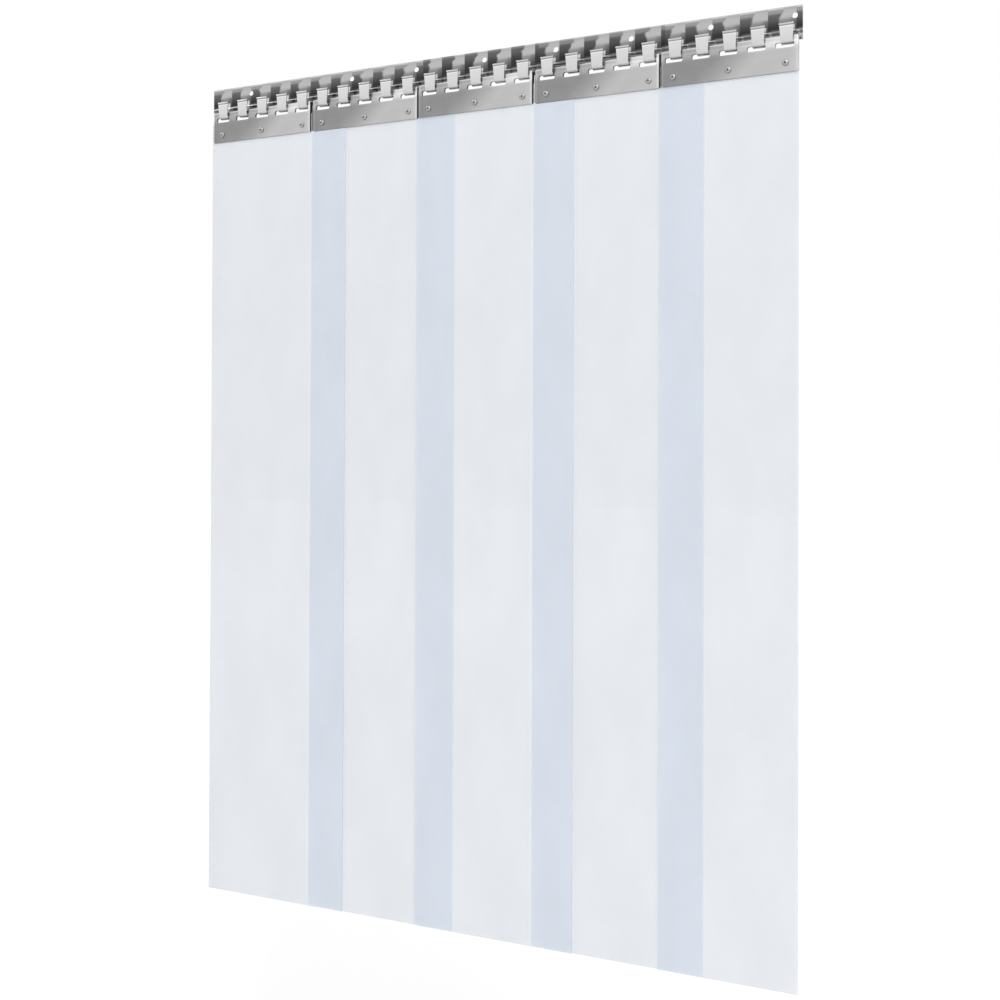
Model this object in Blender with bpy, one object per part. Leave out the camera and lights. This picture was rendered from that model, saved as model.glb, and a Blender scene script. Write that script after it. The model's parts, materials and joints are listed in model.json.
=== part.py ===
"""PVC strip curtain: a hook rail on the wall, and five riveted hangers with overlapping clear strips.

Metres, +Z up. The wall is the plane y = 0 and the curtain is in front of it, towards -Y.
x = 0 is the middle of the curtain, and z = 0 is the line of the screw holes in the rail.
Each hanger turns in the round hooks of the rail, about the axis of their inner curve.
"""
import math

import bmesh
import bpy

# Hangers and hooks
HANGER_COUNT = 5
HOOKS_PER_HANGER = 5
HOOK_PITCH = 0.045
HOOK_SHIFT = 0.004          # hooks stand this far right of the middles of the slots
HOOKS_PER_SCREW = 3

# Rail, one bent sheet
RAIL_T = 0.002
RAIL_END_LEFT = 0.034       # from the first hook's middle to the rail's left end
RAIL_END_RIGHT = 0.021      # from the last hook's middle to the rail's right end
SCREW_LINE_DROP = 0.015     # from the rail's top edge to the screw holes
SCREW_HOLE_D = 0.0088
SCREW_SHIFT = 0.009         # screw holes stand this far right of a hook's middle
BEAD_DROP = 0.0387          # from the rail's top edge to the middle of the stiffening bead
BEAD_W = 0.005
BEAD_H = 0.0012
HOOK_AXIS_DROP = 0.0521     # from the rail's top edge to the axis of the hooks' inner curve
HOOK_ROOM = 0.0026          # room in front of and behind the bars inside a hook
HOOK_NECK_W = 0.019
HOOK_TIP_W = 0.023
HOOK_STRAIGHT = 0.0188      # straight height of the hook's front leg above the curve's axis
HOOK_LIP_R = 0.004
HOOK_LIP_TURN = math.radians(60)
RAIL_FOOT_TURN = math.radians(6)   # how far the rail's foot curves forward between the hooks

# Clamp plates
PLATE_T = 0.0015
PLATE_GAP = 0.0025          # between plates side by side
PLATE_HEIGHT = 0.0553
PLATE_CORNER_R = 0.002
BAR_HEIGHT = 0.0093
SLOT_W = 0.030
SLOT_HEIGHT = 0.0086
SLOT_CORNER_R = 0.002

# Strips
STRIP_W = 0.300             # the last strip is trimmed to its plates instead
STRIP_T = 0.002
STRIP_LENGTH = 1.431
STRIP_REVEAL = 0.0035       # how far a strip reaches past the left edge of its plates
STRIP_TOP_INSET = 0.0035    # from the slots to the strip's top edge
LAYER_GAP = 0.0004          # between two strips that overlap
NOTCH_GAP = 0.001           # between a strip's margins and the neighbouring plates above

# Rivets and washers
RIVET_END_INSET = 0.020     # from the plate's side edge to the outer rivets
RIVET_RISE = 0.014          # from the plate's lower edge to the rivets
RIVET_HEAD_D = 0.010
RIVET_HEAD_H = 0.0024
RIVET_RECESS_D = 0.003
RIVET_RECESS_DEPTH = 0.0008
RIVET_SHANK_D = 0.0048
RIVET_TAIL_D = 0.0075
RIVET_TAIL_H = 0.0016
WASHER_D = 0.012
WASHER_T = 0.001

# Clearances and facets
FIT_GAP = 0.0003            # between pieces that touch
CURVE_STEPS = 10
CORNER_STEPS = 3
ROUND_SIDES = 12
SCREW_HOLE_SIDES = 20
DOME_STEPS = 3

# Worked out from the sizes above
HOOK_COUNT = HANGER_COUNT * HOOKS_PER_HANGER
HANGER_PITCH = HOOKS_PER_HANGER * HOOK_PITCH
CURTAIN_W = HANGER_COUNT * HANGER_PITCH
PLATE_W = HANGER_PITCH - PLATE_GAP
STACK_HALF = PLATE_T + FIT_GAP + STRIP_T / 2
LAYER_STEP = STRIP_T + LAYER_GAP
BAR_REACH = STACK_HALF + LAYER_STEP / 2
HOOK_INNER_R = BAR_REACH + HOOK_ROOM
RAIL_TOP = SCREW_LINE_DROP
AXIS_Y = -(RAIL_T + HOOK_INNER_R)
AXIS_Z = RAIL_TOP - HOOK_AXIS_DROP
BAR_LOW = -math.sqrt((HOOK_INNER_R - FIT_GAP) ** 2 - BAR_REACH ** 2)
PLATE_HIGH = BAR_LOW + BAR_HEIGHT
PLATE_LOW = PLATE_HIGH - PLATE_HEIGHT
SLOT_LOW = BAR_LOW - SLOT_HEIGHT
STRIP_HIGH = SLOT_LOW - STRIP_TOP_INSET
STRIP_LOW = STRIP_HIGH - STRIP_LENGTH
STRIP_MARGIN = STRIP_W - STRIP_REVEAL - PLATE_W
RIVET_Z = PLATE_LOW + RIVET_RISE
RIVET_HOLE_R = RIVET_SHANK_D / 2 + FIT_GAP
RIVET_XS = {side: sign * (PLATE_W / 2 - RIVET_END_INSET)
            for side, sign in (("left", -1), ("middle", 0), ("right", 1))}


def clear_scene():
    for item in list(bpy.data.objects):
        bpy.data.objects.remove(item, do_unlink=True)


def principled(name, colour, metallic, roughness, alpha=1.0):
    material = bpy.data.materials.new(name)
    material.use_nodes = True
    shader = material.node_tree.nodes["Principled BSDF"]
    shader.inputs["Base Color"].default_value = (*colour, 1.0)
    shader.inputs["Metallic"].default_value = metallic
    shader.inputs["Roughness"].default_value = roughness
    shader.inputs["Alpha"].default_value = alpha
    material.diffuse_color = (*colour, alpha)
    return material


def finish_mesh(name, bm):
    """Turns a bmesh into a mesh that is smooth on its curves and flat on its front and back."""
    bmesh.ops.recalc_face_normals(bm, faces=bm.faces[:])
    mesh = bpy.data.meshes.new(name)
    bm.to_mesh(mesh)
    bm.free()
    mesh.shade_smooth()
    mesh.set_sharp_from_angle(angle=math.radians(32))
    for face in mesh.polygons:
        face.use_smooth = abs(face.normal.y) < 0.9999
    return mesh


def add_object(name, mesh, material, parent=None, location=(0, 0, 0)):
    item = bpy.data.objects.new(name, mesh)
    bpy.context.scene.collection.objects.link(item)
    item.parent = parent
    item.location = location
    item.data.materials.clear()
    item.data.materials.append(material)
    return item


def add_axis(name, location):
    empty = bpy.data.objects.new(name, None)
    bpy.context.scene.collection.objects.link(empty)
    empty.location = location
    return empty


def circle(radius, x, z, sides=ROUND_SIDES):
    turns = [2 * math.pi * (k + 0.5) / sides for k in range(sides)]
    return [(x + radius * math.cos(a), z + radius * math.sin(a)) for a in turns]


def rounded_box(left, right, low, high, radius):
    """Outline with round corners, counter-clockwise from the lower left one."""
    corners = [(left + radius, low + radius, 180), (right - radius, low + radius, 270),
               (right - radius, high - radius, 0), (left + radius, high - radius, 90)]
    points = []
    for x, z, start in corners:
        for k in range(CORNER_STEPS + 1):
            a = math.radians(start + 90 * k / CORNER_STEPS)
            points.append((x + radius * math.cos(a), z + radius * math.sin(a)))
    return points


def sheet(outline, holes, thickness):
    """Flat sheet in the XZ plane with holes, its middle plane at y = 0."""
    bm = bmesh.new()
    for loop in [outline, *holes]:
        verts = [bm.verts.new((x, -thickness / 2, z)) for x, z in loop]
        for a, b in zip(verts, verts[1:] + verts[:1]):
            bm.edges.new((a, b))
    bmesh.ops.triangle_fill(bm, edges=bm.edges[:], use_beauty=True, normal=(0, -1, 0))
    grown = bmesh.ops.extrude_face_region(bm, geom=bm.faces[:])["geom"]
    far = [item for item in grown if isinstance(item, bmesh.types.BMVert)]
    bmesh.ops.translate(bm, verts=far, vec=(0, thickness, 0))
    return bm


def turned(profile, sides=ROUND_SIDES):
    """Solid of revolution about Y from (radius, y) points, closed at both ends on the axis."""
    bm = bmesh.new()
    rings = []
    for radius, y in profile:
        if radius == 0:
            rings.append([bm.verts.new((0, y, 0))])
            continue
        rings.append([bm.verts.new((x, y, z)) for x, z in circle(radius, 0, 0, sides)])
    for ring, after in zip(rings, rings[1:]):
        for k in range(sides):
            n = (k + 1) % sides
            if len(ring) == 1:
                bm.faces.new((ring[0], after[k], after[n]))
            elif len(after) == 1:
                bm.faces.new((ring[n], ring[k], after[0]))
            else:
                bm.faces.new((ring[k], after[k], after[n], ring[n]))
    return bm


def hook_x(index):
    return -CURTAIN_W / 2 + HOOK_PITCH * (index + 0.5) + HOOK_SHIFT


def rail_wall_path():
    """Middle line of the rail's wall and foot, top to bottom, as (y, z, normal y, normal z)."""
    mid = -RAIL_T / 2
    path = [(mid, RAIL_TOP, -1, 0)]
    bead_z = RAIL_TOP - BEAD_DROP
    for k in range(CURVE_STEPS // 2 + 1):
        part = k / (CURVE_STEPS // 2)
        turn = 2 * math.pi * part
        slope = math.pi * BEAD_H / BEAD_W * math.sin(turn)
        scale = 1 / math.hypot(1, slope)
        y = mid - BEAD_H * (1 - math.cos(turn)) / 2
        path.append((y, bead_z + BEAD_W * (0.5 - part), -scale, slope * scale))
    path.append((mid, AXIS_Z, -1, 0))
    path.append(hook_curve_point(RAIL_FOOT_TURN))
    return path


def hook_curve_point(turn):
    radius = HOOK_INNER_R + RAIL_T / 2
    y = AXIS_Y + radius * math.cos(turn)
    z = AXIS_Z - radius * math.sin(turn)
    return (y, z, -math.cos(turn), math.sin(turn))


def hook_path():
    """Middle line of a hook after the foot, as (y, z, normal y, normal z, half width)."""
    neck = HOOK_NECK_W / 2
    tip = HOOK_TIP_W / 2
    path = []
    for k in range(1, CURVE_STEPS + 1):
        turn = RAIL_FOOT_TURN + (math.pi - RAIL_FOOT_TURN) * k / CURVE_STEPS
        path.append((*hook_curve_point(turn), neck))
    leg_y = AXIS_Y - HOOK_INNER_R - RAIL_T / 2
    leg_z = AXIS_Z + HOOK_STRAIGHT
    rise = HOOK_STRAIGHT + HOOK_LIP_R * math.sin(HOOK_LIP_TURN)
    for k in range(CORNER_STEPS + 1):
        turn = HOOK_LIP_TURN * k / CORNER_STEPS
        y = leg_y - HOOK_LIP_R * (1 - math.cos(turn))
        z = leg_z + HOOK_LIP_R * math.sin(turn)
        half = neck + (tip - neck) * (z - AXIS_Z) / rise
        path.append((y, z, math.cos(turn), math.sin(turn), half))
    return path


def rail_mesh():
    """The rail as one bent sheet: a full-length wall, and a hook at each hook's column."""
    bm = bmesh.new()
    wall_xs = [hook_x(0) - RAIL_END_LEFT]
    for k in range(HOOK_COUNT):
        wall_xs += [hook_x(k) - HOOK_NECK_W / 2, hook_x(k) + HOOK_NECK_W / 2]
    wall_xs.append(hook_x(HOOK_COUNT - 1) + RAIL_END_RIGHT)

    def both_sides(x, y, z, ny, nz):
        offset = RAIL_T / 2
        front = bm.verts.new((x, y + ny * offset, z + nz * offset))
        back = bm.verts.new((x, y - ny * offset, z - nz * offset))
        return front, back

    cells = []
    rows = [[both_sides(x, *point) for x in wall_xs] for point in rail_wall_path()]
    for upper, lower in zip(rows, rows[1:]):
        for k in range(len(wall_xs) - 1):
            cells.append((upper[k], upper[k + 1], lower[k + 1], lower[k]))
    for k in range(HOOK_COUNT):
        left, right = rows[-1][2 * k + 1], rows[-1][2 * k + 2]
        for y, z, ny, nz, half in hook_path():
            next_left = both_sides(hook_x(k) - half, y, z, ny, nz)
            next_right = both_sides(hook_x(k) + half, y, z, ny, nz)
            cells.append((left, right, next_right, next_left))
            left, right = next_left, next_right

    uses = {}
    for cell in cells:
        bm.faces.new([corner[0] for corner in cell])
        bm.faces.new([corner[1] for corner in reversed(cell)])
        for a, b in zip(cell, cell[1:] + cell[:1]):
            uses.setdefault(frozenset((a, b)), []).append((a, b))
    for found in uses.values():
        if len(found) == 1:
            a, b = found[0]
            bm.faces.new((a[0], a[1], b[1], b[0]))
    return finish_mesh("hook_rail_sheet", bm)


def screw_hole_cutter():
    """Round cutters for the screw holes: one at the second hook, then one at every third."""
    hooks = [1, *range(HOOKS_PER_HANGER + 1, HOOK_COUNT, HOOKS_PER_SCREW)]
    bm = turned([(0, -2 * RAIL_T), (SCREW_HOLE_D / 2, -2 * RAIL_T),
                 (SCREW_HOLE_D / 2, RAIL_T), (0, RAIL_T)], SCREW_HOLE_SIDES)
    first = bm.verts[:] + bm.edges[:] + bm.faces[:]
    for k in hooks[1:]:
        copy = bmesh.ops.duplicate(bm, geom=first)["geom"]
        verts = [item for item in copy if isinstance(item, bmesh.types.BMVert)]
        bmesh.ops.translate(bm, verts=verts, vec=(hook_x(k) - hook_x(hooks[0]), 0, 0))
    cutter = bpy.data.objects.new("screw_hole_cutter", finish_mesh("screw_hole_cutter", bm))
    cutter.location.x = hook_x(hooks[0]) + SCREW_SHIFT
    bpy.context.scene.collection.objects.link(cutter)
    cutter.hide_render = True
    cutter.display_type = "WIRE"
    return cutter


def add_rail():
    steel = principled("rail_steel", (0.56, 0.57, 0.58), 1.0, 0.24)
    rail = add_object("mounting_rail", rail_mesh(), steel)
    cut = rail.modifiers.new("screw_holes", "BOOLEAN")
    cut.operation = "DIFFERENCE"
    cut.solver = "EXACT"
    cut.object = screw_hole_cutter()
    return rail


def plate_mesh():
    """Slotted clamp plate. The bar above its slots lies in the hooks."""
    outline = rounded_box(-PLATE_W / 2, PLATE_W / 2, PLATE_LOW, PLATE_HIGH, PLATE_CORNER_R)
    holes = [circle(RIVET_HOLE_R, x, RIVET_Z) for x in RIVET_XS.values()]
    for k in range(HOOKS_PER_HANGER):
        x = -HANGER_PITCH / 2 + HOOK_PITCH * (k + 0.5)
        holes.append(rounded_box(x - SLOT_W / 2, x + SLOT_W / 2, SLOT_LOW, BAR_LOW, SLOT_CORNER_R))
    return finish_mesh("clamp_plate", sheet(outline, holes, PLATE_T))


def strip_mesh(margin, first=False):
    """Clear strip. Beside its plates it is cut back where a neighbour's plates hang."""
    left, right = -PLATE_W / 2, PLATE_W / 2
    shoulder = PLATE_LOW - NOTCH_GAP
    outline = [(left - STRIP_REVEAL, STRIP_LOW), (right + margin, STRIP_LOW)]
    if margin > 0:
        outline += [(right + margin, shoulder), (right, shoulder)]
    outline.append((right, STRIP_HIGH))
    if first:
        outline.append((left - STRIP_REVEAL, STRIP_HIGH))
    else:
        outline += [(left, STRIP_HIGH), (left, shoulder), (left - STRIP_REVEAL, shoulder)]
    holes = [circle(RIVET_HOLE_R, x, RIVET_Z) for x in RIVET_XS.values()]
    return finish_mesh("strip", sheet(outline, holes, STRIP_T))


def rivet_mesh():
    """Blind rivet: domed head in front, shank through the stack, set tail behind."""
    head_y = -STACK_HALF - FIT_GAP
    tail_y = STACK_HALF + FIT_GAP + WASHER_T + FIT_GAP
    rim = math.acos(RIVET_RECESS_D / RIVET_HEAD_D)
    dome = []
    for k in range(DOME_STEPS + 1):
        turn = rim * (1 - k / DOME_STEPS)
        dome.append((RIVET_HEAD_D / 2 * math.cos(turn),
                     head_y - RIVET_HEAD_H * math.sin(turn) / math.sin(rim)))
    floor_y = head_y - RIVET_HEAD_H + RIVET_RECESS_DEPTH
    profile = [(0, floor_y), (RIVET_RECESS_D / 2, floor_y), *dome,
               (RIVET_SHANK_D / 2, head_y), (RIVET_SHANK_D / 2, tail_y), (RIVET_TAIL_D / 2, tail_y)]
    for k in range(1, DOME_STEPS):
        turn = math.pi / 2 * k / DOME_STEPS
        profile.append((RIVET_TAIL_D / 2 * math.cos(turn), tail_y + RIVET_TAIL_H * math.sin(turn)))
    profile.append((0, tail_y + RIVET_TAIL_H))
    return finish_mesh("rivet", turned(profile))


def washer_mesh():
    bm = sheet(circle(WASHER_D / 2, 0, 0), [circle(RIVET_HOLE_R, 0, 0)], WASHER_T)
    return finish_mesh("washer", bm)


def add_hangers():
    """Hangers lie in two layers by turns, so that each strip is clear of the ones it overlaps."""
    steel = principled("plate_steel", (0.60, 0.60, 0.59), 1.0, 0.33)
    rivet_steel = principled("rivet_steel", (0.62, 0.62, 0.62), 1.0, 0.28)
    washer_steel = principled("washer_steel", (0.52, 0.52, 0.53), 1.0, 0.35)
    clear_pvc = principled("clear_pvc", (0.61, 0.70, 0.81), 0.0, 0.12, alpha=0.65)
    plate = plate_mesh()
    inner_strip = strip_mesh(STRIP_MARGIN)
    end_strips = {1: strip_mesh(STRIP_MARGIN, first=True), HANGER_COUNT: strip_mesh(0)}
    rivet = rivet_mesh()
    washer = washer_mesh()
    plate_y = STACK_HALF - PLATE_T / 2
    washer_y = STACK_HALF + FIT_GAP + WASHER_T / 2
    for k in range(HANGER_COUNT):
        number = k + 1
        x = -CURTAIN_W / 2 + HANGER_PITCH * number - HANGER_PITCH / 2
        layer_y = LAYER_STEP / 2 * (1 if k % 2 else -1)
        axis = add_axis(f"swing_axis_{number}", (x, AXIS_Y, AXIS_Z))
        add_object(f"front_plate_{number}", plate, steel, axis, (0, layer_y - plate_y, 0))
        add_object(f"back_plate_{number}", plate, steel, axis, (0, layer_y + plate_y, 0))
        strip = end_strips.get(number, inner_strip)
        add_object(f"strip_{number}", strip, clear_pvc, axis, (0, layer_y, 0))
        for side, rivet_x in RIVET_XS.items():
            add_object(f"rivet_{number}_{side}", rivet, rivet_steel, axis,
                       (rivet_x, layer_y, RIVET_Z))
            add_object(f"washer_{number}_{side}", washer, washer_steel, axis,
                       (rivet_x, layer_y + washer_y, RIVET_Z))


def main():
    clear_scene()
    add_rail()
    add_hangers()
    bpy.context.view_layer.update()


main()
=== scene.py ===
"""Looks of the PVC strip curtain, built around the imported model.

Metres, +Z up. The wall is the plane y = 0, the curtain is in front of it, towards -Y, and z = 0 is
the line of the screw holes. The rail keeps the model's own coordinates. Plates, strips, rivets and
washers are made round their own middles and put where their CAD node is.
"""

import json
import math

import bmesh
import bpy
from mathutils import Matrix, Vector

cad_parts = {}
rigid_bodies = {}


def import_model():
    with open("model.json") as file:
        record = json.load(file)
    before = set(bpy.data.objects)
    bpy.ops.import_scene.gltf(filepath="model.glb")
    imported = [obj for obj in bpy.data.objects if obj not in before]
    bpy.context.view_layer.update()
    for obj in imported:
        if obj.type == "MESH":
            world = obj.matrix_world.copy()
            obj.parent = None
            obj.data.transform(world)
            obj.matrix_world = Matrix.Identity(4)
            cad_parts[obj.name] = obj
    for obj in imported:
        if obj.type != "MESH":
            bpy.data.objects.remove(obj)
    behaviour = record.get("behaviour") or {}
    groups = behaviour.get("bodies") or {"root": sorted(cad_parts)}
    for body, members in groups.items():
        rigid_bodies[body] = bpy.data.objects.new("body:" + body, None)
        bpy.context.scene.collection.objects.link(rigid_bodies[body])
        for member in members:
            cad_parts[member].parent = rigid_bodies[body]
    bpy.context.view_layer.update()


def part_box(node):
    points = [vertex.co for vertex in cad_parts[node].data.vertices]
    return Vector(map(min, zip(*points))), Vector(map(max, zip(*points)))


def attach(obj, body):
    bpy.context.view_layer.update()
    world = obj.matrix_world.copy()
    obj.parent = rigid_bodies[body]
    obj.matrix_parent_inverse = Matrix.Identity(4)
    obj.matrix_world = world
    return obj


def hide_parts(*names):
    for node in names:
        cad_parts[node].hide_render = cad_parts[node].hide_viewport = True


for item in list(bpy.data.objects):
    bpy.data.objects.remove(item, do_unlink=True)

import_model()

MM = 0.001

# Hangers and hooks, as in the CAD
HANGER_COUNT = 5
HOOKS_PER_HANGER = 5
HOOK_COUNT = HANGER_COUNT * HOOKS_PER_HANGER
HOOK_PITCH = 0.045
HANGER_PITCH = HOOKS_PER_HANGER * HOOK_PITCH
HOOK_SHIFT = 0.004
FIRST_HOOK_X = -HANGER_COUNT * HANGER_PITCH / 2 + HOOK_PITCH / 2 + HOOK_SHIFT
AXIS_Y = -0.0086
AXIS_Z = -0.0371
SIDES = ("left", "middle", "right")

# Rail
RAIL_T = 0.002
RAIL_TOP = 0.015
BEAD_Z = -0.0237
BEAD_W = 0.005
BEAD_H = 0.0012
HOOK_INNER_R = 0.0066
HOOK_NECK_W = 0.019
HOOK_TIP_W = 0.023
HOOK_STRAIGHT = 0.0188
HOOK_LIP_R = 0.004
HOOK_LIP_TURN = math.radians(60)
RAIL_FOOT_TURN = math.radians(6)
SCREW_HOLE_R = 0.0044
SCREW_SHIFT = 0.009
SCREW_HOOKS = (1, *range(6, 25, 3))

# Clamp plates, measured from the hooks' axis
PLATE_T = 0.0015
PLATE_CORNER_R = 0.002
BAR_LOW = -0.004867
SLOT_W = 0.030
SLOT_HEIGHT = 0.0086
SLOT_CORNER_R = 0.003
RIVET_RISE = 0.014
RIVET_END_INSET = 0.020

# Strips
STRIP_T = 0.002
NOTCH_GAP = 0.001

# Rivets and washers
RIVET_HEAD_R = 0.005
RIVET_HEAD_H = 0.0024
RIVET_RECESS_R = 0.0015
RIVET_RECESS_DEPTH = 0.0008
RIVET_SHANK_R = 0.0024
RIVET_HOLE_R = 0.0027
RIVET_TAIL_R = 0.00375
WASHER_R = 0.006
WASHER_T = 0.001
FIT_GAP = 0.0003
STACK_HALF = PLATE_T + FIT_GAP + STRIP_T / 2
RIVET_RIM_H = 0.00035
RIVET_TAIL_H = 0.0016
RIVET_TAIL_RIM_H = 0.00015
RIVET_TAIL_FOOT = 0.94
RIVET_BREAK = 0.0001
MANDREL_R = 0.0011
MANDREL_RISE = 0.0004
MANDREL_TIP = 0.8

# Facets and edge rounding
CURVE_STEPS = 28
CORNER_STEPS = 7
DOME_STEPS = 12
ROUND_SIDES = 40
STEEL_EDGE = 0.00025
PVC_EDGE = 0.0005
WASHER_EDGE = 0.00015
BEVEL_ANGLE = math.radians(50)
SMOOTH_ANGLE = math.radians(60)
FLAT_NORMAL = 0.9999

# Camera, fitted to the photograph's edges, and the stage
CAMERA_AT = (1.1791, -2.1356, -0.6722)
CAMERA_YAW = math.radians(27.977)
CAMERA_PITCH = math.radians(0.675)
CAMERA_ROLL = math.radians(0.196)
CAMERA_LENS = 51.561
CAMERA_SENSOR = 36.0
CAMERA_SHIFT_Y = -0.0623
CAMERA_CLIP = (0.05, 200.0)
WHITE = (1.0, 1.0, 1.0, 1.0)
WORLD_STRENGTH = 0.74
FLOOR_Z = -1.95
FLOOR_SIZE = 60.0
FLOOR_CELLS = 8
FLOOR_COLOR = (0.82, 0.82, 0.82, 1.0)
FLOOR_GLOW = {"From Min": 3.0, "From Max": 9.0, "To Min": 0.2, "To Max": 0.47}

# Lamps: name, place, aim, size and power
LAMPS = (("key", (2.4, -3.0, 3.4), (0, 0, -0.8), (2.4, 2.4), 120),
         ("fill", (-3.6, -1.2, 2.6), (0, 0, -0.7), (2.0, 2.0), 34),
         ("rim", (0.6, 3.2, 3.0), (0, 0, -0.5), (2.4, 1.6), 50))


def circle(radius, x=0.0, z=0.0):
    turns = [2 * math.pi * (k + 0.5) / ROUND_SIDES for k in range(ROUND_SIDES)]
    return [(x + radius * math.cos(a), z + radius * math.sin(a)) for a in turns]


def rounded_box(left, right, low, high, radius):
    """Outline with round corners, counter-clockwise from the lower left one."""
    corners = [(left + radius, low + radius, 180), (right - radius, low + radius, 270),
               (right - radius, high - radius, 0), (left + radius, high - radius, 90)]
    points = []
    for x, z, start in corners:
        for k in range(CORNER_STEPS + 1):
            a = math.radians(start + 90 * k / CORNER_STEPS)
            points.append((x + radius * math.cos(a), z + radius * math.sin(a)))
    return points


def sheet(fields, thickness):
    """Flat sheet in the XZ plane, its middle plane at y = 0.

    Each field is a list of loops, an outline and its holes; fields meet at the points they share.
    """
    bm = bmesh.new()
    made = {}
    for loops in fields:
        edges = []
        for loop in loops:
            for x, z in loop:
                if (x, z) not in made:
                    made[x, z] = bm.verts.new((x, -thickness / 2, z))
            verts = [made[point] for point in loop]
            for pair in zip(verts, verts[1:] + verts[:1]):
                edges.append(bm.edges.get(pair) or bm.edges.new(pair))
        bmesh.ops.triangle_fill(bm, edges=edges, use_beauty=True, normal=(0, -1, 0))
    grown = bmesh.ops.extrude_face_region(bm, geom=bm.faces[:])["geom"]
    far = [item for item in grown if isinstance(item, bmesh.types.BMVert)]
    bmesh.ops.translate(bm, verts=far, vec=(0, thickness, 0))
    return bm


def turned(profile):
    """Solid of revolution about Y from (radius, y) points, closed at both ends on the axis."""
    bm = bmesh.new()
    rings = []
    for radius, y in profile:
        if radius == 0:
            rings.append([bm.verts.new((0, y, 0))])
            continue
        rings.append([bm.verts.new((x, y, z)) for x, z in circle(radius)])
    for ring, after in zip(rings, rings[1:]):
        for k in range(ROUND_SIDES):
            n = (k + 1) % ROUND_SIDES
            if len(ring) == 1:
                bm.faces.new((ring[0], after[k], after[n]))
            elif len(after) == 1:
                bm.faces.new((ring[n], ring[k], after[0]))
            else:
                bm.faces.new((ring[k], after[k], after[n], ring[n]))
    return bm


def finish_mesh(name, bm):
    bmesh.ops.recalc_face_normals(bm, faces=bm.faces[:])
    mesh = bpy.data.meshes.new(name)
    bm.to_mesh(mesh)
    bm.free()
    return mesh


def rounded_mesh(mesh, edge, cutter=None):
    """The mesh with its holes cut and its edges rounded over, shaded smooth but for flat faces."""
    item = bpy.data.objects.new("work_piece", mesh)
    bpy.context.scene.collection.objects.link(item)
    if cutter:
        cut = item.modifiers.new("holes", "BOOLEAN")
        cut.solver = "EXACT"
        cut.object = cutter
    if edge:
        bevel = item.modifiers.new("edges", "BEVEL")
        bevel.width = edge
        bevel.segments = 2
        bevel.limit_method = "ANGLE"
        bevel.angle_limit = BEVEL_ANGLE
        bevel.use_clamp_overlap = True
    depsgraph = bpy.context.evaluated_depsgraph_get()
    depsgraph.update()
    made = bpy.data.meshes.new_from_object(item.evaluated_get(depsgraph))
    made.name = mesh.name
    bpy.data.objects.remove(item)
    made.shade_smooth()
    made.set_sharp_from_angle(angle=SMOOTH_ANGLE)
    for face in made.polygons:
        face.use_smooth = abs(face.normal.y) < FLAT_NORMAL
    return made


def hook_x(index):
    return FIRST_HOOK_X + HOOK_PITCH * index


def hook_curve_point(turn):
    radius = HOOK_INNER_R + RAIL_T / 2
    y = AXIS_Y + radius * math.cos(turn)
    z = AXIS_Z - radius * math.sin(turn)
    return (y, z, -math.cos(turn), math.sin(turn))


def rail_wall_path():
    """Middle line of the rail's wall and foot, top to bottom, as (y, z, normal y, normal z)."""
    mid = -RAIL_T / 2
    path = [(mid, RAIL_TOP, -1, 0)]
    steps = CURVE_STEPS // 2
    for k in range(steps + 1):
        part = k / steps
        turn = 2 * math.pi * part
        slope = math.pi * BEAD_H / BEAD_W * math.sin(turn)
        scale = 1 / math.hypot(1, slope)
        y = mid - BEAD_H * (1 - math.cos(turn)) / 2
        path.append((y, BEAD_Z + BEAD_W * (0.5 - part), -scale, slope * scale))
    path.append((mid, AXIS_Z, -1, 0))
    path.append(hook_curve_point(RAIL_FOOT_TURN / 2))
    path.append(hook_curve_point(RAIL_FOOT_TURN))
    return path


def hook_path():
    """Middle line of a hook after the foot, as (y, z, normal y, normal z, half width)."""
    neck = HOOK_NECK_W / 2
    tip = HOOK_TIP_W / 2
    path = []
    for k in range(1, CURVE_STEPS + 1):
        turn = RAIL_FOOT_TURN + (math.pi - RAIL_FOOT_TURN) * k / CURVE_STEPS
        path.append((*hook_curve_point(turn), neck))
    leg_y = AXIS_Y - HOOK_INNER_R - RAIL_T / 2
    leg_z = AXIS_Z + HOOK_STRAIGHT
    rise = HOOK_STRAIGHT + HOOK_LIP_R * math.sin(HOOK_LIP_TURN)
    for k in range(CORNER_STEPS + 1):
        turn = HOOK_LIP_TURN * k / CORNER_STEPS
        y = leg_y - HOOK_LIP_R * (1 - math.cos(turn))
        z = leg_z + HOOK_LIP_R * math.sin(turn)
        half = neck + (tip - neck) * (z - AXIS_Z) / rise
        path.append((y, z, math.cos(turn), math.sin(turn), half))
    return path


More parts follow.
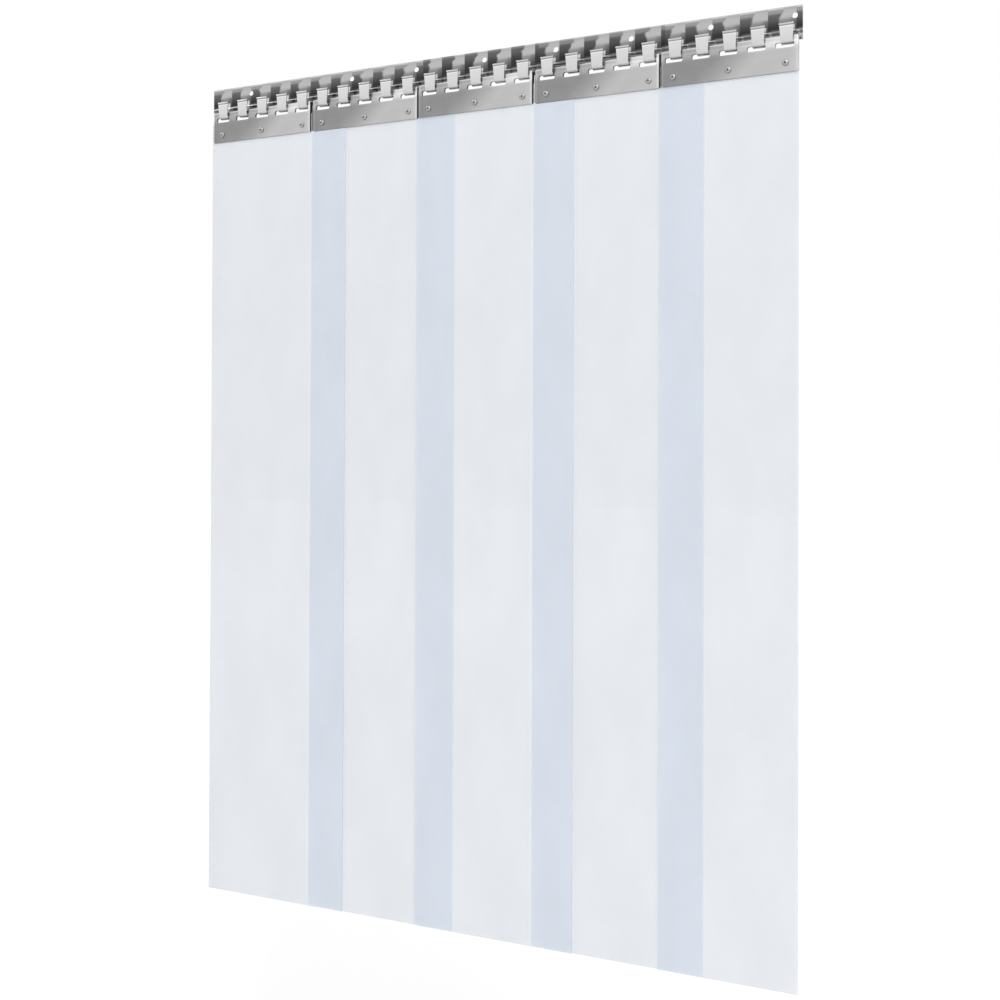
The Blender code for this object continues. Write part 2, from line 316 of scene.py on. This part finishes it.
def rail_sheet():
    """The rail as one bent sheet: a full-length wall, and a hook at each hook's column."""
    bm = bmesh.new()
    rail_low, rail_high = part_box("mounting_rail")
    wall_xs = [rail_low.x]
    for k in range(HOOK_COUNT):
        wall_xs += [hook_x(k) - HOOK_NECK_W / 2, hook_x(k) + HOOK_NECK_W / 2]
    wall_xs.append(rail_high.x)

    def both_sides(x, y, z, ny, nz):
        offset = RAIL_T / 2
        front = bm.verts.new((x, y + ny * offset, z + nz * offset))
        back = bm.verts.new((x, y - ny * offset, z - nz * offset))
        return front, back

    cells = []
    rows = [[both_sides(x, *point) for x in wall_xs] for point in rail_wall_path()]
    for upper, lower in zip(rows, rows[1:]):
        for k in range(len(wall_xs) - 1):
            cells.append((upper[k], upper[k + 1], lower[k + 1], lower[k]))
    for k in range(HOOK_COUNT):
        left, right = rows[-1][2 * k + 1], rows[-1][2 * k + 2]
        for y, z, ny, nz, half in hook_path():
            next_left = both_sides(hook_x(k) - half, y, z, ny, nz)
            next_right = both_sides(hook_x(k) + half, y, z, ny, nz)
            cells.append((left, right, next_right, next_left))
            left, right = next_left, next_right

    uses = {}
    for cell in cells:
        bm.faces.new([corner[0] for corner in cell])
        bm.faces.new([corner[1] for corner in reversed(cell)])
        for a, b in zip(cell, cell[1:] + cell[:1]):
            uses.setdefault(frozenset((a, b)), []).append((a, b))
    for found in uses.values():
        if len(found) == 1:
            a, b = found[0]
            bm.faces.new((a[0], a[1], b[1], b[0]))
    return finish_mesh("hook_rail", bm)


def screw_hole_cutter():
    bm = turned([(0, -2 * RAIL_T), (SCREW_HOLE_R, -2 * RAIL_T),
                 (SCREW_HOLE_R, RAIL_T), (0, RAIL_T)])
    first = bm.verts[:] + bm.edges[:] + bm.faces[:]
    for k in SCREW_HOOKS[1:]:
        copy = bmesh.ops.duplicate(bm, geom=first)["geom"]
        verts = [item for item in copy if isinstance(item, bmesh.types.BMVert)]
        bmesh.ops.translate(bm, verts=verts, vec=(hook_x(k) - hook_x(SCREW_HOOKS[0]), 0, 0))
    cutter = bpy.data.objects.new("screw_hole_cutter", finish_mesh("screw_hole_cutter", bm))
    cutter.location.x = hook_x(SCREW_HOOKS[0]) + SCREW_SHIFT
    bpy.context.scene.collection.objects.link(cutter)
    cutter.hide_render = True
    return cutter


def rivet_hole_xs(width):
    reach = width / 2 - RIVET_END_INSET
    return [-reach, 0.0, reach]


def plate_sheet(width, low, high):
    """Slotted clamp plate, measured from the hooks' axis."""
    outline = rounded_box(-width / 2, width / 2, low, high, PLATE_CORNER_R)
    holes = [circle(RIVET_HOLE_R, x, low + RIVET_RISE) for x in rivet_hole_xs(width)]
    for k in range(HOOKS_PER_HANGER):
        x = -HANGER_PITCH / 2 + HOOK_PITCH * (k + 0.5)
        holes.append(rounded_box(x - SLOT_W / 2, x + SLOT_W / 2,
                                 BAR_LOW - SLOT_HEIGHT, BAR_LOW, SLOT_CORNER_R))
    return finish_mesh("clamp_plate", sheet([[outline, *holes]], PLATE_T))


def strip_sheet(first, width, reveal, margin, low, high, plate_low):
    """Clear strip. Beside its plates it is cut back where a neighbour's plates hang."""
    right = width / 2
    upper_left = -width / 2 - (reveal if first else 0)
    lower_left = -width / 2 - reveal
    shoulder = plate_low - NOTCH_GAP
    clamped = [(upper_left, shoulder), (right, shoulder), (right, high), (upper_left, high)]
    holes = [circle(RIVET_HOLE_R, x, plate_low + RIVET_RISE) for x in rivet_hole_xs(width)]
    hanging = [(lower_left, low), (right + margin, low), (right + margin, shoulder)]
    if margin > 0:
        hanging.append((right, shoulder))
    hanging.append((upper_left, shoulder))
    if not first:
        hanging.append((lower_left, shoulder))
    return finish_mesh("pvc_strip", sheet([[clamped, *holes], [hanging]], STRIP_T))


def rivet_solid():
    """Blind rivet: domed head, broken-off mandrel in its recess, shank and rolled tail."""
    head_y = -STACK_HALF - FIT_GAP
    tail_y = STACK_HALF + FIT_GAP + WASHER_T + FIT_GAP
    floor_y = head_y - RIVET_HEAD_H + RIVET_RECESS_DEPTH
    mandrel_y = floor_y - MANDREL_RISE
    rim = math.acos(RIVET_RECESS_R / RIVET_HEAD_R)
    profile = [(0, mandrel_y), (MANDREL_R * MANDREL_TIP, mandrel_y),
               (MANDREL_R, mandrel_y + RIVET_BREAK), (MANDREL_R, floor_y),
               (RIVET_RECESS_R, floor_y)]
    for k in range(DOME_STEPS + 1):
        turn = rim * (1 - k / DOME_STEPS)
        rise = (RIVET_HEAD_H - RIVET_RIM_H) * math.sin(turn) / math.sin(rim)
        profile.append((RIVET_HEAD_R * math.cos(turn), head_y - RIVET_RIM_H - rise))
    profile += [(RIVET_HEAD_R, head_y - RIVET_BREAK), (RIVET_HEAD_R - RIVET_BREAK, head_y),
                (RIVET_SHANK_R, head_y), (RIVET_SHANK_R, tail_y),
                (RIVET_TAIL_R * RIVET_TAIL_FOOT, tail_y)]
    for k in range(DOME_STEPS):
        turn = math.pi / 2 * k / DOME_STEPS
        rise = (RIVET_TAIL_H - RIVET_TAIL_RIM_H) * math.sin(turn)
        profile.append((RIVET_TAIL_R * math.cos(turn), tail_y + RIVET_TAIL_RIM_H + rise))
    profile.append((0, tail_y + RIVET_TAIL_H))
    return finish_mesh("rivet", turned(profile))


def washer_ring():
    return finish_mesh("washer", sheet([[circle(WASHER_R), circle(RIVET_HOLE_R)]], WASHER_T))


class Look:
    """A Principled material whose sockets are fed by short chains of nodes."""

    def __init__(self, name):
        self.material = bpy.data.materials.new(name)
        self.material.use_nodes = True
        self.tree = self.material.node_tree
        self.shader = self.tree.nodes["Principled BSDF"]
        self.place = self.new("ShaderNodeTexCoord").outputs["Object"]
        split = self.new("ShaderNodeSeparateXYZ")
        self.feed(split.inputs[0], self.place)
        self.x, self.y, self.z = (self.times(out, 1 / MM) for out in split.outputs)

    def new(self, kind):
        return self.tree.nodes.new(kind)

    def feed(self, socket, value):
        if isinstance(value, bpy.types.NodeSocket):
            self.tree.links.new(value, socket)
        elif isinstance(value, tuple) and len(value) == 3 and socket.type == "RGBA":
            socket.default_value = (*value, 1.0)
        else:
            socket.default_value = value

    def set(self, **values):
        """Feeds the shader's sockets; base_color means Base Color, and so on."""
        for name, value in values.items():
            words = name.replace("_", " ").title().replace("Ior", "IOR")
            self.feed(self.shader.inputs[words], value)

    def math(self, operation, a, b=0.0):
        node = self.new("ShaderNodeMath")
        node.operation = operation
        self.feed(node.inputs[0], a)
        self.feed(node.inputs[1], b)
        return node.outputs[0]

    def times(self, a, b):
        return self.math("MULTIPLY", a, b)

    def step(self, value, start, end, low=0.0, high=1.0):
        """Smooth change from low to high as value goes from start to end."""
        node = self.new("ShaderNodeMapRange")
        node.interpolation_type = "SMOOTHSTEP"
        for name, given in (("Value", value), ("From Min", start), ("From Max", end),
                            ("To Min", low), ("To Max", high)):
            self.feed(node.inputs[name], given)
        return node.outputs["Result"]

    def ramp(self, value, stops):
        """Grey levels along value, as (value, level) stops in rising order."""
        first, last = stops[0][0], stops[-1][0]
        node = self.new("ShaderNodeValToRGB")
        reach = self.new("ShaderNodeMapRange")
        self.feed(reach.inputs["Value"], value)
        self.feed(reach.inputs["From Min"], first)
        self.feed(reach.inputs["From Max"], last)
        self.feed(node.inputs["Fac"], reach.outputs["Result"])
        points = node.color_ramp.elements
        while len(points) < len(stops):
            points.new(0.5)
        for point, (at, level) in zip(points, stops):
            point.position = (at - first) / (last - first)
            point.color = (level, level, level, 1.0)
        return node.outputs["Color"]

    def noise(self, stretch, detail=3.0, roughness=0.55):
        """Noise over the piece; stretch is cycles per millimetre along x, y and z."""
        node = self.new("ShaderNodeTexNoise")
        place = self.new("ShaderNodeMapping")
        self.feed(place.inputs["Vector"], self.place)
        place.inputs["Scale"].default_value = tuple(s / MM for s in stretch)
        self.feed(node.inputs["Vector"], place.outputs["Vector"])
        node.inputs["Scale"].default_value = 1.0
        node.inputs["Detail"].default_value = detail
        node.inputs["Roughness"].default_value = roughness
        return node.outputs["Fac"]

    def mix(self, factor, a, b, blend="MIX"):
        node = self.new("ShaderNodeMix")
        node.data_type = "RGBA"
        node.blend_type = blend
        self.feed(node.inputs["Factor"], factor)
        self.feed(node.inputs[6], a)
        self.feed(node.inputs[7], b)
        return node.outputs[2]

    def scaled(self, color, factor):
        """The colour times a colour or number."""
        return self.mix(1.0, color, factor, "MULTIPLY")

    def by_hanger(self, levels):
        """Along the rail, the level of the hanger that hangs there; levels are left to right."""
        level = levels[0]
        for k in range(1, HANGER_COUNT):
            if levels[k] != levels[k - 1]:
                start = (FIRST_HOOK_X - HOOK_PITCH / 2 + HANGER_PITCH * k) / MM
                change = self.step(self.x, start, start + 0.1, 0.0, levels[k] - levels[k - 1])
                level = self.math("ADD", level, change)
        return level

    def bump(self, height, distance):
        node = self.new("ShaderNodeBump")
        self.feed(node.inputs["Height"], height)
        node.inputs["Distance"].default_value = distance
        node.inputs["Strength"].default_value = 1.0
        self.feed(self.shader.inputs["Normal"], node.outputs["Normal"])


# In the looks, places on a piece are in millimetres from its origin, noise is in cycles per
# millimetre, and the other numbers are grey levels, colours or factors of them.


def rail_look():
    """Bright rolled steel. The wall's colour carries painted reflections: a painted dark and a
    painted light patch beside every hook, with highlights and shade of the bead painted in.

    The painted reflections differ a little from hanger to hanger. The back is plain.
    """
    look = Look("rail_steel")
    pitch = HOOK_PITCH / MM
    middle = pitch / 2
    along = look.math("SUBTRACT", look.x, FIRST_HOOK_X / MM - middle)
    spot = look.math("FLOORED_MODULO", along, pitch)
    # Per hanger, the painted reflections are shifted along the rail.
    slide = look.by_hanger((6.0, 6.0, -0.6, -0.6, 3.4))
    tile = look.math("FLOORED_MODULO", look.math("ADD", along, slide), pitch)

    wander = look.step(look.noise((0.03, 0.03, 0.06), detail=1.0), 0.3, 0.7, -2.5, 2.5)
    ragged = look.math("SUBTRACT", look.math("ADD", tile, wander), look.step(look.z, 5, 8.5, 0, 5))
    # Painted reflection: where the light patch lies over each hook, its left edge ragged.
    painted_light_patch = look.times(look.step(ragged, middle - 13, middle - 8),
                     look.step(tile, middle + 15.6, middle + 14.2))
    # Grey levels of the painted dark patch by height: painted highlights and shade along the bead,
    # the foot and the top edge, raised or lowered a little per hanger and darker on hanger 4.
    rise = look.times(look.by_hanger((1.5, 1.5, -5.5, 0.5, 1.5)), look.step(look.z, -16, -8))
    dark = look.ramp(look.math("ADD", look.z, rise),
                     [(-34, 0.30), (-30, 0.50), (-28, 0.18), (-26, 0.08), (-24, 0.17),
                      (-22, 0.29), (-20, 0.075), (-17, 0.033), (-9, 0.058), (-2, 0.10), (5, 0.13),
                      (8, 0.25), (10, 0.33), (12.3, 0.28), (13.6, 0.48), (15, 0.60)])
    dark = look.scaled(dark, look.by_hanger((1.0, 1.0, 1.0, 0.78, 1.0)))
    # Grey levels of the painted light patch by height, with the same painted bead and edges.
    light = look.ramp(look.z, [(-34, 0.40), (-30, 0.55), (-26, 0.20), (-22, 0.38), (-20, 0.15),
                               (-17, 0.12), (-12, 0.17), (-8, 0.235), (-5, 0.28), (-2, 0.42),
                               (1, 0.48), (9, 0.47), (12.3, 0.41), (13.6, 0.52), (15, 0.62)])
    # Below the screw holes the painted light patch dims towards its right side.
    painted_falloff = look.math("MAXIMUM", look.step(tile, middle + 2, middle + 13, 1.0, 0.66),
                     look.step(look.z, -7, -1))
    wall = look.mix(painted_light_patch, dark, look.scaled(light, painted_falloff))

    # Painted reflection of each hook's bright leg. edge is where it ends, to the right of the
    # hook, on each hanger; under the bead the wall just past it is painted up to three times
    # lighter.
    edge = look.by_hanger([middle + reach for reach in (5.0, 5.0, 6.6, 8.6, 8.6)])
    past = look.math("SUBTRACT", spot, edge)
    under = look.times(look.step(look.z, -22.4, -23.4), look.step(look.z, -30, -27.5))
    beside = look.times(look.step(past, -1.5, 0.5), look.step(past, 11, 5))
    painted_reflection_lift = look.times(look.times(under, beside), 2.0)
    wall = look.scaled(wall, look.math("ADD", painted_reflection_lift, 1.0))
    # Painted reflection of the leg: a light strip on the wall from behind the leg out to that
    # edge, between heights -31 and -14.5 mm.
    mirrored = look.times(look.step(spot, middle - 6, middle - 3), look.step(past, 1.0, -1.0))
    tall = look.times(look.step(look.z, -12, -14.5), look.step(look.z, -33, -31))
    wall = look.mix(look.times(mirrored, tall), wall, (0.64, 0.64, 0.64))
    back = look.ramp(look.z, [(-38, 0.34), (-26, 0.46), (-24, 0.38), (-20, 0.48), (0, 0.43),
                              (15, 0.50)])
    wall = look.mix(look.step(look.y, -1.2, -0.4), wall, back)

    # The hook's front by height: painted shade towards the bottom of the bend, a painted highlight
    # where the leg turns into its lip, and a painted shadow line across the foot of the lip.
    leg = look.ramp(look.z, [(-45.5, 0.28), (-43.6, 0.46), (-41.5, 0.60), (-30, 0.65),
                             (-20, 0.66), (-19.3, 0.88), (-18.5, 0.80), (-17.9, 0.24),
                             (-17.0, 0.26), (-16.3, 0.52), (-14.8, 0.55)])
    on_leg = look.step(look.y, -11, -14)
    base = look.mix(on_leg, wall, leg)
    streaks = look.noise((0.05, 0.6, 2.2), detail=5.0)
    base = look.mix(look.step(streaks, 0.3, 0.7, 0.0, 0.16), base, (0.95, 0.97, 1.0), "SOFT_LIGHT")
    look.set(base_color=base, metallic=1.0,
             roughness=look.math("ADD", look.times(streaks, 0.10),
                                 look.step(on_leg, 0, 1, 0.16, 0.34)))
    look.bump(look.noise((0.35, 0.35, 0.35), detail=4.0), 0.02 * MM)
    return look.material


def plate_look(name, left_end=False, right_end=False):
    """Brushed clamp plate with painted reflections, and painted shadow along edges that face a
    neighbour.
    """
    look = Look(name)
    # Painted reflection that slants across the plate: darker on the left, lighter on the right.
    slanted = look.math("ADD", look.x, look.times(look.z, -1.1))
    painted_sheen = look.ramp(slanted, [(-110, 0.29), (-60, 0.265), (-5, 0.28), (15, 0.33), (35, 0.38),
                                (55, 0.45), (75, 0.50), (110, 0.49), (150, 0.51)])
    # Painted light and shade at the ends: a painted shadow on the last millimetre or two of an
    # edge that faces a neighbour, standing for the dark gap between plates, with a painted
    # highlight band just inside it. The row's outer ends are painted light instead.
    left = [(-111.2, 0.12), (-110.5, 0.90), (-109.6, 1.22)]
    if left_end:
        left = [(-111.2, 1.55), (-109.2, 1.5), (-108.4, 0.70)]
    right = [(107.0, 1.34), (108.5, 1.45), (109.2, 0.14), (111.2, 0.06)]
    if right_end:
        right = [(108.4, 1.18), (111.2, 1.30)]
    ends = look.ramp(look.x, [*left, (-106, 0.95), (-96, 1.0), (96, 1.0), (105, 1.06), *right])
    # Painted highlight: lighter towards the plate's top, and a light band along its top edge.
    top = look.ramp(look.z, [(-17, 1.0), (-13, 1.10), (-11, 1.22), (-9, 1.42), (-6, 1.45),
                             (-3.6, 1.60), (-2.6, 1.58), (-0.8, 1.38), (0.4, 1.36), (2, 1.46),
                             (3.2, 1.55)])
    base = look.scaled(look.scaled(painted_sheen, ends), top)
    base = look.mix(look.step(look.z, 3.0, 3.6), base, (0.74, 0.74, 0.74))
    brushed = look.noise((0.012, 1.0, 4.0), detail=4.0, roughness=0.65)
    cloudy = look.noise((0.03, 0.03, 0.05), detail=2.0)
    base = look.mix(look.step(brushed, 0.25, 0.75, 0.0, 0.22), base, (0.9, 0.9, 0.9), "SOFT_LIGHT")
    base = look.mix(look.step(cloudy, 0.3, 0.7, 0.0, 0.12), base, (0.2, 0.2, 0.21), "SOFT_LIGHT")
    look.set(base_color=base, metallic=1.0, roughness=look.step(brushed, 0.2, 0.8, 0.27, 0.40))
    look.bump(brushed, 0.01 * MM)
    return look.material


def rivet_look():
    look = Look("rivet_steel")
    radius = look.math("SQRT", look.math("ADD", look.math("POWER", look.x, 2.0),
                                         look.math("POWER", look.z, 2.0)))
    # Painted shade in the head's recess: a dark mandrel end and a darker ring round it; the dome's
    # grey dims towards its edge.
    recess_shade_rings = look.ramp(radius, [(0, 0.10), (1.0, 0.14), (1.15, 0.03), (1.45, 0.06), (1.8, 0.42),
                                (4.0, 0.40), (5.0, 0.30)])
    front = look.step(look.y, -1.5, -3.0)
    scuffs = look.noise((1.2, 1.2, 1.2), detail=4.0)
    # Painted shade: a dark crescent on the left of the dome's rim.
    rim = look.times(look.step(look.x, -2.0, -4.2), look.step(radius, 3.0, 4.4))
    base = look.mix(look.times(rim, 0.75), recess_shade_rings, (0.12, 0.12, 0.12))
    base = look.mix(front, (0.55, 0.55, 0.55), base)
    base = look.mix(look.step(scuffs, 0.3, 0.7, 0.0, 0.25), base, (0.3, 0.3, 0.3), "SOFT_LIGHT")
    look.set(base_color=base, metallic=1.0, roughness=look.step(scuffs, 0.2, 0.8, 0.38, 0.52))
    look.bump(scuffs, 0.02 * MM)
    return look.material


def washer_look():
    look = Look("washer_steel")
    grain = look.noise((1.6, 1.6, 1.6), detail=5.0)
    base = look.mix(look.step(grain, 0.3, 0.7), (0.46, 0.46, 0.47), (0.58, 0.58, 0.58))
    look.set(base_color=base, metallic=1.0, roughness=look.step(grain, 0.2, 0.8, 0.28, 0.46))
    look.bump(grain, 0.02 * MM)
    return look.material


def pvc_look(name, first=False):
    """Clear PVC, painted lighter and bluer where it lies over or under a neighbour, against the
    shade that neighbour casts, and with a painted light band just beside that.

    From a strip's middle the next strip starts at 110.3 mm, and the one before ends at -39.8 mm.
    """
    look = Look(name)
    streaks = look.noise((0.16, 0.16, 0.002), detail=3.0)
    cloudy = look.noise((0.012, 0.012, 0.006), detail=2.0)
    base = look.mix(look.step(cloudy, 0.3, 0.7), (0.784, 0.809, 0.855), (0.812, 0.837, 0.883))
    # Painted light: lighter towards the bottom, where the lamps reach the strip less.
    base = look.scaled(base, look.step(look.z, -100, -1400, 0.98, 1.02))
    # Painted light: the lapped zones are lightened, most in blue, to make up for the neighbour's
    # shade, and a band just beside them is painted lighter.
    lapped = look.step(look.x, 110, 111)
    border = look.times(look.step(look.x, 107.2, 108.2), look.step(look.x, 110.6, 110))
    if not first:
        left_border = look.times(look.step(look.x, -36.4, -37.4), look.step(look.x, -40, -39.4))
        lapped = look.math("MAXIMUM", lapped, look.step(look.x, -39, -40))
        border = look.math("MAXIMUM", border, left_border)
    base = look.scaled(base, look.step(border, 0, 1, 1.0, 1.045))
    base = look.mix(lapped, base, look.scaled(base, (1.01, 1.047, 1.086)))
    look.set(base_color=base, metallic=0.0, alpha=0.6, ior=1.53,
             roughness=look.step(streaks, 0.2, 0.8, 0.10, 0.20))
    look.bump(streaks, 0.05 * MM)
    return look.material


def place(name, mesh, material, node, at, body, slot):
    """A piece at a point of the row frame, standing for a CAD node and riding on its body."""
    item = bpy.data.objects.new(name, mesh)
    bpy.context.scene.collection.objects.link(item)
    item.location = at
    item.data.materials.clear()
    item.data.materials.append(material)
    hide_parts(node)
    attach(item, body)


def node_middle(node):
    low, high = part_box(node)
    return (low + high) / 2


def add_rail():
    cutter = screw_hole_cutter()
    mesh = rounded_mesh(rail_sheet(), STEEL_EDGE, cutter)
    bpy.data.objects.remove(cutter)
    place("hook_rail", mesh, rail_look(), "mounting_rail", (0, 0, 0), "rail", "rail_steel")


def add_hangers():
    rivet_steel, washer_steel = rivet_look(), washer_look()
    end_steel = {1: plate_look("plate_steel_left", left_end=True),
                 HANGER_COUNT: plate_look("plate_steel_right", right_end=True)}
    plate_steel = plate_look("plate_steel")
    first_pvc, clear_pvc = pvc_look("clear_pvc_end", first=True), pvc_look("clear_pvc")
    plate_low, plate_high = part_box("front_plate_1")
    width = plate_high.x - plate_low.x
    low, high = plate_low.z - AXIS_Z, plate_high.z - AXIS_Z
    plate = rounded_mesh(plate_sheet(width, low, high), STEEL_EDGE)
    rivet = rounded_mesh(rivet_solid(), 0)
    washer = rounded_mesh(washer_ring(), WASHER_EDGE)
    for k in range(1, HANGER_COUNT + 1):
        body = f"hanger_{k}"
        centre_x = node_middle(f"front_plate_{k}").x
        strip_low, strip_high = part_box(f"strip_{k}")
        margin = strip_high.x - centre_x - width / 2
        reveal = centre_x - width / 2 - strip_low.x
        strip = strip_sheet(k == 1, width, reveal, margin if margin > MM else 0.0,
                            strip_low.z - AXIS_Z, strip_high.z - AXIS_Z, low)
        for side in ("front", "back"):
            node = f"{side}_plate_{k}"
            place(f"clamp_plate_{side}_{k}", plate.copy() if k in end_steel else plate,
                  end_steel.get(k, plate_steel), node,
                  (centre_x, node_middle(node).y, AXIS_Z), body, "plate_steel")
        place(f"pvc_strip_{k}", rounded_mesh(strip, PVC_EDGE),
              first_pvc if k == 1 else clear_pvc, f"strip_{k}",
              (centre_x, node_middle(f"strip_{k}").y, AXIS_Z), body, "clear_pvc")
        for side in SIDES:
            node = f"rivet_{k}_{side}"
            at = node_middle(node)
            place(f"blind_rivet_{k}_{side}", rivet, rivet_steel, node,
                  (at.x, node_middle(f"strip_{k}").y, at.z), body, "rivet_steel")
            node = f"washer_{k}_{side}"
            place(f"washer_ring_{k}_{side}", washer, washer_steel, node,
                  node_middle(node), body, "washer_steel")


def add_camera():
    data = bpy.data.cameras.new("photo_camera")
    data.lens = CAMERA_LENS
    data.sensor_width = CAMERA_SENSOR
    data.shift_y = CAMERA_SHIFT_Y
    data.clip_start, data.clip_end = CAMERA_CLIP
    camera = bpy.data.objects.new("photo_camera", data)
    bpy.context.scene.collection.objects.link(camera)
    level = math.cos(CAMERA_PITCH)
    forward = Vector((-math.sin(CAMERA_YAW) * level, math.cos(CAMERA_YAW) * level,
                      math.sin(CAMERA_PITCH)))
    side = Vector((math.cos(CAMERA_YAW), math.sin(CAMERA_YAW), 0.0))
    over = side.cross(forward)
    right = math.cos(CAMERA_ROLL) * side + math.sin(CAMERA_ROLL) * over
    up = math.cos(CAMERA_ROLL) * over - math.sin(CAMERA_ROLL) * side
    turn = Matrix((right, up, -forward)).transposed()
    camera.matrix_world = Matrix.Translation(CAMERA_AT) @ turn.to_4x4()
    bpy.context.scene.camera = camera


def seen_directly(tree):
    """1 for rays that show the background itself: camera, mirror and see-through rays."""
    path = tree.nodes.new("ShaderNodeLightPath")
    seen = path.outputs["Is Camera Ray"]
    for name in ("Is Glossy Ray", "Is Transmission Ray"):
        either = tree.nodes.new("ShaderNodeMath")
        either.operation = "MAXIMUM"
        tree.links.new(seen, either.inputs[0])
        tree.links.new(path.outputs[name], either.inputs[1])
        seen = either.outputs[0]
    return seen


def add_floor():
    """Pale floor that keeps the curtain's shadow and glows towards its far edge, up to white."""
    bm = bmesh.new()
    bmesh.ops.create_grid(bm, x_segments=FLOOR_CELLS, y_segments=FLOOR_CELLS, size=FLOOR_SIZE / 2)
    floor = bpy.data.objects.new("studio_floor", finish_mesh("studio_floor", bm))
    bpy.context.scene.collection.objects.link(floor)
    floor.location = (0, 0, FLOOR_Z)
    material = bpy.data.materials.new("pale_floor")
    material.use_nodes = True
    tree = material.node_tree
    tree.nodes.clear()
    diffuse = tree.nodes.new("ShaderNodeBsdfDiffuse")
    diffuse.inputs["Color"].default_value = FLOOR_COLOR
    glow = tree.nodes.new("ShaderNodeEmission")
    reach = tree.nodes.new("ShaderNodeVectorMath")
    reach.operation = "LENGTH"
    tree.links.new(tree.nodes.new("ShaderNodeTexCoord").outputs["Object"], reach.inputs[0])
    level = tree.nodes.new("ShaderNodeMapRange")
    tree.links.new(reach.outputs["Value"], level.inputs["Value"])
    for name, value in FLOOR_GLOW.items():
        level.inputs[name].default_value = value
    strength = tree.nodes.new("ShaderNodeMath")
    strength.operation = "MULTIPLY"
    tree.links.new(seen_directly(tree), strength.inputs[0])
    tree.links.new(level.outputs["Result"], strength.inputs[1])
    tree.links.new(strength.outputs[0], glow.inputs["Strength"])
    glow.inputs["Color"].default_value = WHITE
    both = tree.nodes.new("ShaderNodeAddShader")
    tree.links.new(diffuse.outputs[0], both.inputs[0])
    tree.links.new(glow.outputs[0], both.inputs[1])
    out = tree.nodes.new("ShaderNodeOutputMaterial")
    tree.links.new(both.outputs[0], out.inputs["Surface"])
    floor.data.materials.append(material)


def set_world():
    world = bpy.data.worlds.new("studio")
    bpy.context.scene.world = world
    world.use_nodes = True
    tree = world.node_tree
    tree.nodes.clear()
    strength = tree.nodes.new("ShaderNodeMapRange")
    tree.links.new(seen_directly(tree), strength.inputs["Value"])
    strength.inputs["To Min"].default_value = WORLD_STRENGTH
    strength.inputs["To Max"].default_value = 1.0
    background = tree.nodes.new("ShaderNodeBackground")
    background.inputs["Color"].default_value = WHITE
    tree.links.new(strength.outputs["Result"], background.inputs["Strength"])
    out = tree.nodes.new("ShaderNodeOutputWorld")
    tree.links.new(background.outputs[0], out.inputs["Surface"])


def add_light(name, at, aim, size, power):
    data = bpy.data.lights.new(name, "AREA")
    data.shape = "RECTANGLE"
    data.size, data.size_y = size
    data.energy = power
    light = bpy.data.objects.new(name, data)
    bpy.context.scene.collection.objects.link(light)
    light.location = at
    light.rotation_euler = (Vector(aim) - Vector(at)).to_track_quat("-Z", "Y").to_euler()


add_camera()
add_rail()
add_hangers()
add_floor()
set_world()
for lamp in LAMPS:
    add_light(*lamp)
bpy.context.scene.view_settings.view_transform = "Standard"

bpy.context.view_layer.update()
